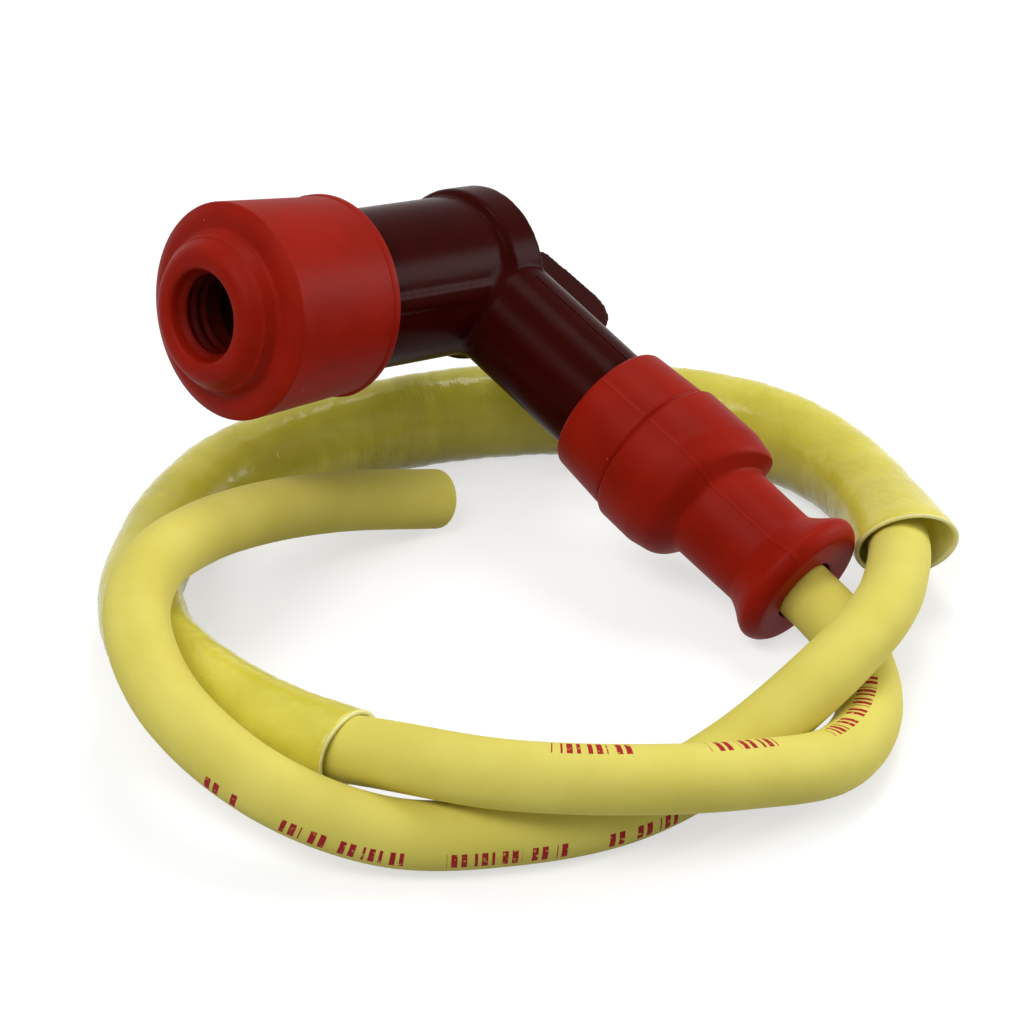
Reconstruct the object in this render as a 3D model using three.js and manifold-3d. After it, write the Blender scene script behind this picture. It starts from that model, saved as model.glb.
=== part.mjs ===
// Spark plug cap with wire, in millimetres, +Z up.
// The plug side points to -Y and slightly up, the cable side to +X and slightly down,
// and the whole part lies on z = 0 on its loops of cable and the rim of the cable boot.
import * as THREE from "three";
import { mergeVertices } from "three/addons/utils/BufferGeometryUtils.js";
import Module from "manifold-3d";

const wasm = await Module();
wasm.setup();

const degrees = (angle) => (angle * Math.PI) / 180;

// Frame of the elbow
const ELBOW = [-21.86, 13.26, 27.64];
const PLUG_RISE = 12.1;
const ARM_FALL = 21.3;
const plugAxis = new THREE.Vector3(0, -Math.cos(degrees(PLUG_RISE)), Math.sin(degrees(PLUG_RISE)));
const armAxis = new THREE.Vector3(Math.cos(degrees(ARM_FALL)), 0, -Math.sin(degrees(ARM_FALL)));
const elbow = new THREE.Vector3(...ELBOW);

// Clearance between pieces that touch in the real cap
const GAP = 0.3;

// Moulded body, measured from the elbow along each axis
const BARREL_R = 9.17;
const BARREL_FRONT = 33;
const COLLAR_R = 9.95;
const COLLAR_FRONT = 1.4;
const COLLAR_REAR = -4.1;
const ARM_R = 6.64;
const ARM_END = 31.3;
const FIN_THICKNESS = 2;
const RIDGE_WIDTH = 1.7;
const RIDGE_HEIGHT = 0.3;
const RIDGE_ANGLE = 60;
const MAIN_BORE_R = 3.6;
const MAIN_BORE_END = -2.4;
const SOCKET_BORE_R = 5.7;
const SOCKET_BORE_START = BARREL_FRONT - 10.8;
const STUD_BORE_R = 1.5;
const CABLE_BORE_R = 3.8;
const CABLE_BORE_START = 12;

// Plug boot
const BOOT_REAR = BARREL_FRONT - 11.8;
const BOOT_RIM = BARREL_FRONT + 3.6;
const BOOT_NOSE = BOOT_RIM + 4;
const BOOT_REAR_R = 11.05;
const BOOT_RIM_R = 12;
const BOOT_BEAD = 0.45;
const NOSE_R = 7.2;
const NOSE_HOLE_R = 4.75;
const NOSE_RIB_R = 4.3;

// Cable boot
const MOUTH = ARM_END - 6.3;
const MOUTH_R = 8.1;
const FIRST_STEP_END = 32.6;
const FIRST_STEP_R = 8.6;
const SECOND_STEP_R = 9.15;
const SECOND_STEP_END = 38.2;
const NECK_START = 44;
const NECK_END = 51;
const NECK_R = 6.2;
const LIP = 55.2;
const LIP_R = 8.15;
const BOOT_END = 57;

// Electrical pieces in the bores
const CONTACT_R = MAIN_BORE_R - GAP;
const CONTACT_REAR = MAIN_BORE_END + GAP;
const CONTACT_FRONT = 2;
const SPRING_R = 2.4;
const SPRING_WIRE = 0.6;
const SPRING_TURNS = 3;
const SPRING_LENGTH = 3.6;
const ROD_R = 2.5;
const ROD_LENGTH = 11.4;
const ROD_CAP_R = 3.2;
const ROD_CAP_DEPTH = 2.4;
const ROD_CAP_BASE = 0.5;
const TERMINAL_FLANGE_R = SOCKET_BORE_R - GAP;
const TERMINAL_FLANGE = 1.4;
const TERMINAL_R = 4.6;
const TERMINAL_BORE_R = 3.45;
const TERMINAL_END = BARREL_FRONT - 1.2;
const CLIP_AT = TERMINAL_END - 3.8;
const CLIP_WIRE = 0.6;
const STUD_HEAD_R = 3.3;
const STUD_THREAD_R = 0.95;
const STUD_END = 24;

// Ignition cable and its sleeve
const CABLE_D = 7;
const CABLE_START = 14;
const CONDUCTOR_D = 1.6;
const CABLE_HOLE_R = 1.3;
const CONDUCTOR_START = STUD_END + GAP;
const CABLE_STEPS = 76;
const SLEEVE_WALL = 0.7;
const SLEEVE_SIDES = 14;

// Points on the arm's axis that the cable follows through the boot
const onArm = (distance) => elbow.clone().addScaledVector(armAxis, distance).toArray();

// Centreline of the cable after the boot
const CABLE_ROUTE = [
  onArm(CABLE_START),
  onArm(26.7),
  onArm(39.4),
  onArm(52.1),
  [38.4, 11.9, 4.7],
  [48, 4, 3.8],
  [52.9, -7.4, 5.2],
  [50.9, -19.4, 8.2],
  [45.6, -30.7, 10.6],
  [36.9, -39.6, 11.4],
  [25, -43.6, 9.9],
  [12.8, -45.9, 7.5],
  [0.2, -46.1, 5.9],
  [-12, -43.1, 4.8],
  [-22.6, -36.3, 4.6],
  [-30.4, -26.3, 4.6],
  [-34.1, -14.3, 4.6],
  [-33.6, -1.7, 4.6],
  [-29.7, 10.3, 4.6],
  [-23.2, 21.2, 4.6],
  [-14.5, 30.4, 4.6],
  [-3.9, 37.2, 4.6],
  [8.4, 40.1, 4.6],
  [20.6, 37.3, 5.3],
  [30.7, 29.9, 6.9],
  [38.4, 20.2, 9.5],
  [44.5, 9.3, 11.4],
  [46.7, -2.9, 10.1],
  [44.8, -14.6, 5.6],
  [42.2, -26.8, 3.75],
  [36.6, -38.1, 3.75],
  [28.5, -47.7, 4.5],
  [18.9, -54.7, 8.7],
  [7.3, -56.3, 13.1],
  [-4.1, -51.5, 15.4],
  [-12.4, -42.9, 15.3],
  [-17.1, -32.6, 13.4],
  [-18.9, -22.1, 11],
  [-18.6, -10.3, 7.9],
  [-16, 3.7, 3.6],
];

// Sleeve stations: centre, half width across, half height, lean of the top along the cable
const SLEEVE_STATIONS = [
  [19.9, -45.1, 8.7, 4.8, 4.9, -1.2],
  [13.1, -46, 7.7, 4.9, 5.2],
  [6.6, -46.4, 7, 4.9, 5.5],
  [0.2, -46.1, 6.6, 4.9, 5.8],
  [-6.1, -44.9, 6.1, 4.9, 5.8],
  [-12, -43.1, 5.8, 4.9, 5.6],
  [-17.6, -40.1, 5.7, 4.9, 5.5],
  [-22.6, -36.3, 5.7, 4.9, 5.5],
  [-26.9, -31.6, 5.7, 4.9, 5.5],
  [-30.4, -26.3, 5.8, 4.9, 5.6],
  [-32.8, -20.4, 5.9, 4.9, 5.8],
  [-34.1, -14.3, 5.95, 4.9, 5.9],
  [-34.3, -7.9, 5.95, 4.9, 5.9],
  [-33.6, -1.7, 5.95, 4.9, 5.9],
  [-32, 4.4, 5.95, 4.9, 5.9],
  [-29.7, 10.3, 5.95, 4.9, 5.9],
  [-26.8, 15.9, 5.95, 4.9, 5.9],
  [-23.2, 21.2, 5.95, 4.9, 5.9],
  [-19.1, 26.1, 5.95, 4.9, 5.9],
  [-14.5, 30.4, 5.95, 4.9, 5.9],
  [-9.4, 34.2, 5.95, 4.9, 5.9],
  [-3.9, 37.2, 5.95, 4.9, 5.9],
  [2.2, 39.2, 5.95, 4.9, 5.9],
  [8.4, 40.1, 5.9, 4.9, 5.8],
  [14.7, 39.4, 5.9, 5, 5.7],
  [20.6, 37.3, 6.1, 5.2, 5.7],
  [26, 34.2, 6.4, 5.5, 5.6],
  [30.6, 30.6, 7.1, 5.8, 5.5],
  [34.2, 27.4, 8, 6, 5.3, 2],
];

// The part, with a frame for each side of the cap: +Y runs out from the elbow along its axis
const bendNormal = new THREE.Vector3().crossVectors(plugAxis, armAxis).normalize();
function sideFrame(axis) {
  const across = new THREE.Vector3().crossVectors(axis, bendNormal).normalize();
  const frame = new THREE.Group();
  frame.setRotationFromMatrix(new THREE.Matrix4().makeBasis(across, axis, bendNormal));
  frame.position.copy(elbow);
  frame.updateMatrix();
  return frame;
}
const group = new THREE.Group();
const plugSide = sideFrame(plugAxis);
const cableSide = sideFrame(armAxis);
group.add(plugSide, cableSide);

function addNode(parent, name, geometry, colour, metalness, roughness) {
  const material = new THREE.MeshStandardMaterial({ color: colour, metalness, roughness });
  material.name = `${name}_material`;
  const mesh = new THREE.Mesh(geometry, material);
  mesh.name = name;
  parent.add(mesh);
}

// A closed, welded mesh whose faces point out
function solid(geometry) {
  const bare = new THREE.BufferGeometry();
  bare.setAttribute("position", geometry.getAttribute("position").clone());
  if (geometry.index) bare.setIndex(geometry.index.clone());
  const welded = mergeVertices(bare, 1e-4);
  const index = welded.index.array;
  const at = welded.getAttribute("position");
  const kept = [];
  let volume = 0;
  const [a, b, c] = [new THREE.Vector3(), new THREE.Vector3(), new THREE.Vector3()];
  for (let i = 0; i < index.length; i += 3) {
    const [p, q, r] = [index[i], index[i + 1], index[i + 2]];
    if (p === q || q === r || r === p) continue;
    kept.push(p, q, r);
    a.fromBufferAttribute(at, p);
    b.fromBufferAttribute(at, q);
    c.fromBufferAttribute(at, r);
    volume += a.dot(b.cross(c));
  }
  if (volume < 0) {
    for (let i = 0; i < kept.length; i += 3) {
      [kept[i], kept[i + 1]] = [kept[i + 1], kept[i]];
    }
  }
  welded.setIndex(kept);
  return welded;
}

function toManifold(geometry) {
  const closed = solid(geometry);
  return new wasm.Manifold(
    new wasm.Mesh({
      numProp: 3,
      vertProperties: new Float32Array(closed.getAttribute("position").array),
      triVerts: new Uint32Array(closed.index.array),
    }),
  );
}

function fromManifold(body) {
  const mesh = body.getMesh();
  const geometry = new THREE.BufferGeometry();
  geometry.setAttribute("position", new THREE.BufferAttribute(mesh.vertProperties, 3));
  geometry.setIndex(new THREE.BufferAttribute(mesh.triVerts, 1));
  return geometry;
}

// A solid of revolution about +Y, from [distance, radius] pairs
function turned(profile, segments) {
  const points = profile.map(([distance, radius]) => new THREE.Vector2(radius, distance));
  return new THREE.LatheGeometry(points, segments);
}

const rod = (start, end, radius, segments) =>
  turned([[start, 0], [start, radius], [end, radius], [end, 0]], segments);

// A piece of the moulded body, moved from one side's frame into the part's own
const placed = (frame, geometry) => toManifold(geometry.applyMatrix4(frame.matrix));

// Moulded body: barrel with its collar, the arm, the grip fin and the moulding ridge
const barrel = turned(
  [
    [COLLAR_REAR, 0],
    [COLLAR_REAR, COLLAR_R - 1.2],
    [COLLAR_REAR + 0.3, COLLAR_R - 0.4],
    [COLLAR_REAR + 0.9, COLLAR_R],
    [COLLAR_FRONT - 0.3, COLLAR_R],
    [COLLAR_FRONT, COLLAR_R - 0.3],
    [COLLAR_FRONT + 0.6, BARREL_R],
    [BARREL_FRONT - 0.8, BARREL_R],
    [BARREL_FRONT, BARREL_R - 0.8],
    [BARREL_FRONT, 0],
  ],
  48,
);
const arm = turned(
  [[0, 0], [0, ARM_R], [ARM_END - 0.6, ARM_R], [ARM_END, ARM_R - 0.6], [ARM_END, 0]],
  40,
);

// The fin lies in the plane of the bend, on the arm's outer side
const finShape = new THREE.Shape();
finShape.moveTo(-5, 0.2);
finShape.lineTo(-13.4, 0.2);
finShape.lineTo(-14.1, 1);
finShape.lineTo(-14.6, 9.2);
finShape.lineTo(-14.2, 11.2);
finShape.lineTo(-12.9, 13.1);
finShape.lineTo(-11.2, 14.2);
finShape.lineTo(-5, 14.6);
finShape.closePath();
const fin = new THREE.ExtrudeGeometry(finShape, { depth: FIN_THICKNESS, bevelEnabled: false });
fin.translate(0, 0, -FIN_THICKNESS / 2);

const ridge = new THREE.BoxGeometry(RIDGE_WIDTH, BARREL_FRONT - 4, 2);
ridge.translate(0, (BARREL_FRONT - 4) / 2, BARREL_R + RIDGE_HEIGHT - 1);
ridge.rotateY(degrees(-RIDGE_ANGLE));

const mainBore = turned(
  [
    [MAIN_BORE_END, 0],
    [MAIN_BORE_END, MAIN_BORE_R],
    [SOCKET_BORE_START, MAIN_BORE_R],
    [SOCKET_BORE_START, SOCKET_BORE_R],
    [BARREL_FRONT - 0.6, SOCKET_BORE_R],
    [BARREL_FRONT + 1, SOCKET_BORE_R + 1.6],
    [BARREL_FRONT + 1, 0],
  ],
  32,
);
const armBore = turned(
  [
    [0, 0],
    [0, STUD_BORE_R],
    [CABLE_BORE_START - 2.6, STUD_BORE_R],
    [CABLE_BORE_START - 2.6, CABLE_BORE_R],
    [ARM_END + 1, CABLE_BORE_R],
    [ARM_END + 1, 0],
  ],
  28,
);
const body = placed(plugSide, barrel)
  .add(placed(cableSide, arm))
  .add(placed(cableSide, fin))
  .add(placed(plugSide, ridge))
  .subtract(placed(plugSide, mainBore))
  .subtract(placed(cableSide, armBore));
addNode(group, "cap_body", fromManifold(body), 0x300806, 0, 0.25);

// Rubber boot on the plug side, with a ribbed throat behind its nose
const bootInner = BARREL_R + RIDGE_HEIGHT + GAP;
const shoulder = BARREL_FRONT + GAP;
addNode(
  plugSide,
  "plug_boot",
  solid(
    turned(
      [
        [BOOT_REAR, bootInner],
        [BOOT_REAR, BOOT_REAR_R],
        [BOOT_REAR + 0.2, BOOT_REAR_R + BOOT_BEAD],
        [BOOT_REAR + 0.6, BOOT_REAR_R + BOOT_BEAD],
        [BOOT_REAR + 0.9, BOOT_REAR_R + 0.1],
        [BOOT_RIM - 0.8, BOOT_RIM_R],
        [BOOT_RIM, BOOT_RIM_R - 0.3],
        [BOOT_RIM + 0.8, BOOT_RIM_R - 1.2],
        [BOOT_RIM + 1, BOOT_RIM_R - 2.2],
        [BOOT_RIM + 1.3, BOOT_RIM_R - 3],
        [BOOT_NOSE - 1.4, NOSE_R + 0.8],
        [BOOT_NOSE - 0.4, NOSE_R],
        [BOOT_NOSE, NOSE_R - 0.9],
        [BOOT_NOSE, NOSE_HOLE_R + 0.8],
        [BOOT_NOSE - 0.5, NOSE_HOLE_R + 0.3],
        [BOOT_NOSE - 1.4, NOSE_HOLE_R],
        [BOOT_NOSE - 2, NOSE_RIB_R],
        [BOOT_NOSE - 2.8, NOSE_HOLE_R],
        [BOOT_NOSE - 3.4, NOSE_RIB_R],
        [BOOT_NOSE - 4.2, NOSE_HOLE_R],
        [BOOT_NOSE - 4.8, NOSE_RIB_R],
        [BOOT_NOSE - 5.6, NOSE_HOLE_R],
        [shoulder, NOSE_HOLE_R],
        [shoulder, BARREL_R - 0.6],
        [shoulder - 0.9, bootInner],
        [BOOT_REAR, bootInner],
      ],
      44,
    ),
  ),
  0x8e1a0a,
  0,
  0.6,
);

// Rubber boot on the cable side: two steps, a neck and a flared lip
const mouthInner = ARM_R + GAP;
const neckInner = CABLE_D / 2 + GAP;
addNode(
  cableSide,
  "cable_boot",
  solid(
    turned(
      [
        [MOUTH, mouthInner],
        [MOUTH, MOUTH_R - 0.7],
        [MOUTH + 0.3, MOUTH_R - 0.2],
        [MOUTH + 1, MOUTH_R],
        [FIRST_STEP_END - 0.4, FIRST_STEP_R],
        [FIRST_STEP_END, FIRST_STEP_R - 0.2],
        [FIRST_STEP_END + 0.4, SECOND_STEP_R - 0.2],
        [FIRST_STEP_END + 1, SECOND_STEP_R],
        [SECOND_STEP_END, SECOND_STEP_R],
        [SECOND_STEP_END + 3.2, SECOND_STEP_R - 0.6],
        [NECK_START - 0.8, NECK_R + 0.6],
        [NECK_START, NECK_R],
        [NECK_END, NECK_R],
        [NECK_END + 2, NECK_R + 0.5],
        [LIP - 1, LIP_R - 0.6],
        [LIP, LIP_R],
        [LIP + 1, LIP_R - 0.4],
        [BOOT_END, LIP_R - 1.2],
        [BOOT_END, neckInner],
        [ARM_END + GAP, neckInner],
        [ARM_END + GAP, mouthInner],
        [MOUTH, mouthInner],
      ],
      40,
    ),
  ),
  0x8e1a0a,
  0,
  0.6,
);

// Contact chain in the main bore, from the rear to the plug
addNode(
  plugSide,
  "rear_contact",
  solid(rod(CONTACT_REAR, CONTACT_FRONT, CONTACT_R, 20)),
  0xc9a24a,
  1,
  0.35,
);

class Helix extends THREE.Curve {
  getPoint(t, target = new THREE.Vector3()) {
    const turn = 2 * Math.PI * SPRING_TURNS * t;
    return target.set(SPRING_R * Math.cos(turn), SPRING_LENGTH * t, SPRING_R * Math.sin(turn));
  }
}

function regular(radius, sides, hole = 0) {
  const shape = new THREE.Shape();
  const ring = (path, r, direction) => {
    for (let i = 0; i < sides; i += 1) {
      const angle = (direction * 2 * Math.PI * i) / sides;
      const [x, y] = [r * Math.cos(angle), r * Math.sin(angle)];
      if (i === 0) path.moveTo(x, y);
      else path.lineTo(x, y);
    }
    path.closePath();
  };
  ring(shape, radius, 1);
  if (hole > 0) {
    const bore = new THREE.Path();
    ring(bore, hole, -1);
    shape.holes.push(bore);
  }
  return shape;
}

const springStart = CONTACT_FRONT + GAP + SPRING_WIRE / 2;
const spring = new THREE.ExtrudeGeometry(regular(SPRING_WIRE / 2, 6), {
  steps: SPRING_TURNS * 14,
  extrudePath: new Helix(),
});
spring.translate(0, springStart, 0);
addNode(plugSide, "contact_spring", solid(spring), 0xb8bcc0, 1, 0.3);

const rearCap = springStart + SPRING_LENGTH + SPRING_WIRE / 2 + GAP;
const rodStart = rearCap + ROD_CAP_BASE + GAP;
const rodEnd = rodStart + ROD_LENGTH;
const frontCap = rodEnd + GAP + ROD_CAP_BASE;
const rodCap = (base, direction) =>
  solid(
    turned(
      [
        [base, 0],
        [base, ROD_CAP_R],
        [base + direction * ROD_CAP_DEPTH, ROD_CAP_R],
        [base + direction * ROD_CAP_DEPTH, ROD_R + GAP],
        [base + direction * ROD_CAP_BASE, ROD_R + GAP],
        [base + direction * ROD_CAP_BASE, 0],
      ],
      20,
    ),
  );
addNode(plugSide, "resistor_rear_cap", rodCap(rearCap, 1), 0xb9b2a0, 1, 0.35);
addNode(plugSide, "resistor_rod", solid(rod(rodStart, rodEnd, ROD_R, 20)), 0xd8d2c4, 0, 0.7);
addNode(plugSide, "resistor_front_cap", rodCap(frontCap, -1), 0xb9b2a0, 1, 0.35);

// Plug terminal: a base in the main bore, a flange on its shoulder and a slotted sleeve
const terminalBase = frontCap + GAP;
const flangeStart = SOCKET_BORE_START + GAP;
const flangeEnd = flangeStart + TERMINAL_FLANGE;
const terminalTurned = turned(
  [
    [terminalBase, 0],
    [terminalBase, CONTACT_R],
    [flangeStart, CONTACT_R],
    [flangeStart, TERMINAL_FLANGE_R],
    [flangeEnd, TERMINAL_FLANGE_R],
    [flangeEnd, TERMINAL_R],
    [CLIP_AT - 0.8, TERMINAL_R],
    [CLIP_AT - 0.8, TERMINAL_R - 0.3],
    [CLIP_AT + 0.8, TERMINAL_R - 0.3],
    [CLIP_AT + 0.8, TERMINAL_R],
    [TERMINAL_END, TERMINAL_R],
    [TERMINAL_END, TERMINAL_BORE_R + 0.4],
    [TERMINAL_END - 0.5, TERMINAL_BORE_R],
    [flangeEnd, TERMINAL_BORE_R],
    [flangeEnd, 0],
  ],
  28,
);
const slot = new THREE.BoxGeometry(0.9, 6, 14);
slot.translate(0, TERMINAL_END - 2, 0);
addNode(
  plugSide,
  "plug_terminal",
  fromManifold(toManifold(terminalTurned).subtract(toManifold(slot))),
  0xc9a24a,
  1,
  0.3,
);

// Open spring ring in the terminal's groove
class OpenRing extends THREE.Curve {
  getPoint(t, target = new THREE.Vector3()) {
    const angle = degrees(30 + 300 * t);
    const radius = TERMINAL_R - 0.3 + GAP + CLIP_WIRE / 2;
    return target.set(radius * Math.sin(angle), CLIP_AT, radius * Math.cos(angle));
  }
}
const clip = new THREE.ExtrudeGeometry(regular(CLIP_WIRE / 2, 6), {
  steps: 24,
  extrudePath: new OpenRing(),
});
addNode(plugSide, "terminal_clip", solid(clip), 0xb8bcc0, 1, 0.3);

// Threaded stud that the cable is screwed onto
const studStart = CONTACT_R + GAP + 0.3;
const studThread = [];
for (let at = CABLE_START + 0.6; at < STUD_END - 1.6; at += 1.5) {
  studThread.push([at, STUD_THREAD_R - 0.25], [at + 0.75, STUD_THREAD_R]);
}
addNode(
  cableSide,
  "cable_stud",
  solid(
    turned(
      [
        [studStart, 0],
        [studStart, STUD_BORE_R - GAP],
        [CABLE_BORE_START - 2.3, STUD_BORE_R - GAP],
        [CABLE_BORE_START - 2.3, STUD_HEAD_R],
        [CABLE_START - GAP, STUD_HEAD_R],
        [CABLE_START - GAP, STUD_THREAD_R - 0.25],
        ...studThread,
        [STUD_END - 1, STUD_THREAD_R - 0.25],
        [STUD_END, 0],
      ],
      12,
    ),
  ),
  0xc9a24a,
  1,
  0.35,
);

// Cable jacket with its conductor
const cablePath = new THREE.CatmullRomCurve3(
  CABLE_ROUTE.map((point) => new THREE.Vector3(...point)),
  false,
  "centripetal",
);
const jacket = new THREE.ExtrudeGeometry(regular(CABLE_D / 2, 10, CABLE_HOLE_R), {
  steps: CABLE_STEPS,
  extrudePath: cablePath,
});
addNode(group, "ignition_cable", solid(jacket), 0xd8cc62, 0, 0.55);

const conductorPath = new THREE.CatmullRomCurve3(
  [onArm(CONDUCTOR_START), ...CABLE_ROUTE.slice(2)].map((point) => new THREE.Vector3(...point)),
  false,
  "centripetal",
);
const conductor = new THREE.ExtrudeGeometry(regular(CONDUCTOR_D / 2, 6), {
  steps: CABLE_STEPS,
  extrudePath: conductorPath,
});
addNode(group, "cable_conductor", solid(conductor), 0xb87848, 1, 0.4);

// Loose sleeve on the back of the loop: an oval tube lofted through its stations
function loftedTube(stations, sides, wall) {
  const centres = stations.map(([x, y, z]) => new THREE.Vector3(x, y, z));
  const path = new THREE.CatmullRomCurve3(centres, false, "centripetal");
  const positions = [];
  const count = stations.length;
  stations.forEach(([x, y, z, across, high, lean = 0], i) => {
    const along = new THREE.Vector3().subVectors(
      centres[Math.min(i + 1, count - 1)],
      centres[Math.max(i - 1, 0)],
    );
    if (i === 0 || i === count - 1) path.getTangent(i === 0 ? 0 : 1, along);
    along.z = 0;
    along.normalize();
    const side = new THREE.Vector3(along.y, -along.x, 0);
    for (const inset of [0, wall]) {
      for (let k = 0; k < sides; k += 1) {
        const angle = (2 * Math.PI * (k + 0.5)) / sides;
        const out = (across - inset) * Math.cos(angle);
        const on = lean * Math.sin(angle);
        positions.push(
          x + side.x * out + along.x * on,
          y + side.y * out + along.y * on,
          z + (high - inset) * Math.sin(angle),
        );
      }
    }
  });
  const index = [];
  const vertex = (i, layer, k) => i * 2 * sides + layer * sides + (k % sides);
  const quad = (a, b, c, d) => index.push(a, b, c, a, c, d);
  for (let k = 0; k < sides; k += 1) {
    for (let i = 0; i < count - 1; i += 1) {
      quad(vertex(i, 0, k), vertex(i, 0, k + 1), vertex(i + 1, 0, k + 1), vertex(i + 1, 0, k));
      quad(vertex(i, 1, k), vertex(i + 1, 1, k), vertex(i + 1, 1, k + 1), vertex(i, 1, k + 1));
    }
    quad(vertex(0, 0, k), vertex(0, 1, k), vertex(0, 1, k + 1), vertex(0, 0, k + 1));
    const last = count - 1;
    quad(vertex(last, 0, k), vertex(last, 0, k + 1), vertex(last, 1, k + 1), vertex(last, 1, k));
  }
  const geometry = new THREE.BufferGeometry();
  geometry.setAttribute("position", new THREE.Float32BufferAttribute(positions, 3));
  geometry.setIndex(index);
  return geometry;
}
const sleeve = solid(loftedTube(SLEEVE_STATIONS, SLEEVE_SIDES, SLEEVE_WALL));
addNode(group, "cable_sleeve", sleeve, 0xc8be50, 0, 0.35);

export default group;
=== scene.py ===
# Spark plug cap with wire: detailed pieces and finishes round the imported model, in metres.
import math

import bmesh
import bpy
from mathutils import Matrix, Vector
from mathutils.geometry import interpolate_bezier


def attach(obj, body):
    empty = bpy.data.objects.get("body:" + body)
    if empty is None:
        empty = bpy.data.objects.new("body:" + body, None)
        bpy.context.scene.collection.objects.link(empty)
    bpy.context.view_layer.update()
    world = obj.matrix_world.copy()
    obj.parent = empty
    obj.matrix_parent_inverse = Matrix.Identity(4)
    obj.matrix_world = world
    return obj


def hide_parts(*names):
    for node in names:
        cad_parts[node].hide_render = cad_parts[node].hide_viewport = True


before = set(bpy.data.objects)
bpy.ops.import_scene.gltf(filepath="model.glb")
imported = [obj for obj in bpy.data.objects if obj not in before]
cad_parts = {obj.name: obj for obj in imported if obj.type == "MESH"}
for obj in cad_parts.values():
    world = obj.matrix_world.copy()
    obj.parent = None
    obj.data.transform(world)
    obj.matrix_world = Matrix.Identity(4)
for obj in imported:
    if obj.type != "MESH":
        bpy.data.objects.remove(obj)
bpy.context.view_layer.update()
scene = bpy.context.scene
scene.view_settings.view_transform = "Standard"

MM = 0.001

# Frames of the cap's two sides: +Y runs out from the elbow along each axis
ELBOW = Vector((-21.86, 13.26, 27.64)) * MM
PLUG_RISE = math.radians(12.1)
ARM_FALL = math.radians(21.3)
plug_axis = Vector((0, -math.cos(PLUG_RISE), math.sin(PLUG_RISE)))
arm_axis = Vector((math.cos(ARM_FALL), 0, -math.sin(ARM_FALL)))
bend_normal = plug_axis.cross(arm_axis).normalized()


def side_frame(axis):
    """The placing of a side: +Y out along its axis, +Z along the bend's normal."""
    across = axis.cross(bend_normal)
    turned_frame = Matrix((across, axis, bend_normal)).transposed().to_4x4()
    turned_frame.translation = ELBOW
    return turned_frame


plug_side = side_frame(plug_axis)
cable_side = side_frame(arm_axis)

# Camera at the photograph's angle
CAMERA_AT = (0.2180, -0.2234, 0.1900)
CAMERA_PITCH = math.radians(60)
CAMERA_TURN = math.radians(44.4)
LENS_MM = 112.5
SENSOR_MM = 36
NEAREST, FARTHEST = 0.01, 20
camera_data = bpy.data.cameras.new("camera")
camera_data.lens = LENS_MM
camera_data.sensor_width = SENSOR_MM
camera_data.clip_start = NEAREST
camera_data.clip_end = FARTHEST
camera = bpy.data.objects.new("camera", camera_data)
camera.location = CAMERA_AT
camera.rotation_euler = (CAMERA_PITCH, 0, CAMERA_TURN)
scene.collection.objects.link(camera)
scene.camera = camera


# Shapes
SHARP = math.radians(40)
BODY_SHARP = math.radians(50)
ROUNDING_SEGMENTS = 5
SAME_POINT = 1e-6
CURVE_STEPS = 32


def shaded(mesh, sharp=SHARP):
    """Smooth shading, with the edges over an angle kept sharp."""
    mesh.shade_smooth()
    mesh.set_sharp_from_angle(angle=sharp)


def finished(name, bm):
    """A smooth-shaded object from a bmesh that already lies in the part's frame."""
    mesh = bpy.data.meshes.new(name)
    bm.to_mesh(mesh)
    bm.free()
    shaded(mesh)
    piece = bpy.data.objects.new(name, mesh)
    scene.collection.objects.link(piece)
    return piece


def turned(corners, steps, closed=False):
    """A bmesh turned about +Y from (distance, radius, rounding) corners in millimetres."""
    bm = bmesh.new()
    verts = [bm.verts.new((radius * MM, along * MM, 0)) for along, radius, _ in corners]
    edges = [bm.edges.new(pair) for pair in zip(verts, verts[1:])]
    if closed:
        edges.append(bm.edges.new((verts[-1], verts[0])))
    for rounding in sorted({corner[2] for corner in corners if corner[2] > 0}):
        rounded = [vert for vert, corner in zip(verts, corners) if corner[2] == rounding]
        bmesh.ops.bevel(
            bm,
            geom=rounded,
            offset=rounding * MM,
            offset_type="OFFSET",
            segments=ROUNDING_SEGMENTS,
            profile=0.5,
            affect="VERTICES",
            material=-1,
        )
    bmesh.ops.spin(
        bm,
        geom=bm.verts[:] + bm.edges[:],
        cent=(0, 0, 0),
        axis=(0, 1, 0),
        angle=math.tau,
        steps=steps,
        use_merge=True,
    )
    bmesh.ops.remove_doubles(bm, verts=bm.verts, dist=SAME_POINT)
    bmesh.ops.recalc_face_normals(bm, faces=bm.faces)
    return bm


def smooth_path(points, spacing):
    """Evenly spaced points on the centripetal Catmull-Rom curve through the given ones.

    Also returned is how far along the curve each given point lies.
    """
    ends = [2 * points[0] - points[1], *points, 2 * points[-1] - points[-2]]
    dense = []
    for a, b, c, d in zip(ends, ends[1:], ends[2:], ends[3:]):
        ab, bc, cd = (math.sqrt((q - p).length) for p, q in ((a, b), (b, c), (c, d)))
        leaving = ((b - a) / ab - (c - a) / (ab + bc) + (c - b) / bc) * bc
        arriving = ((c - b) / bc - (d - b) / (bc + cd) + (d - c) / cd) * bc
        handles = (b + leaving / 3, c - arriving / 3)
        dense += interpolate_bezier(b, *handles, c, CURVE_STEPS + 1)[:-1]
    dense.append(points[-1])
    travelled = [0.0]
    for p, q in zip(dense, dense[1:]):
        travelled.append(travelled[-1] + (q - p).length)
    count = round(travelled[-1] / spacing)
    path, i = [], 0
    for step in range(count + 1):
        wanted = travelled[-1] * step / count
        while i < len(dense) - 2 and travelled[i + 1] < wanted:
            i += 1
        share = (wanted - travelled[i]) / (travelled[i + 1] - travelled[i])
        path.append(dense[i].lerp(dense[i + 1], share))
    return path, travelled[::CURVE_STEPS]


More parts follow.
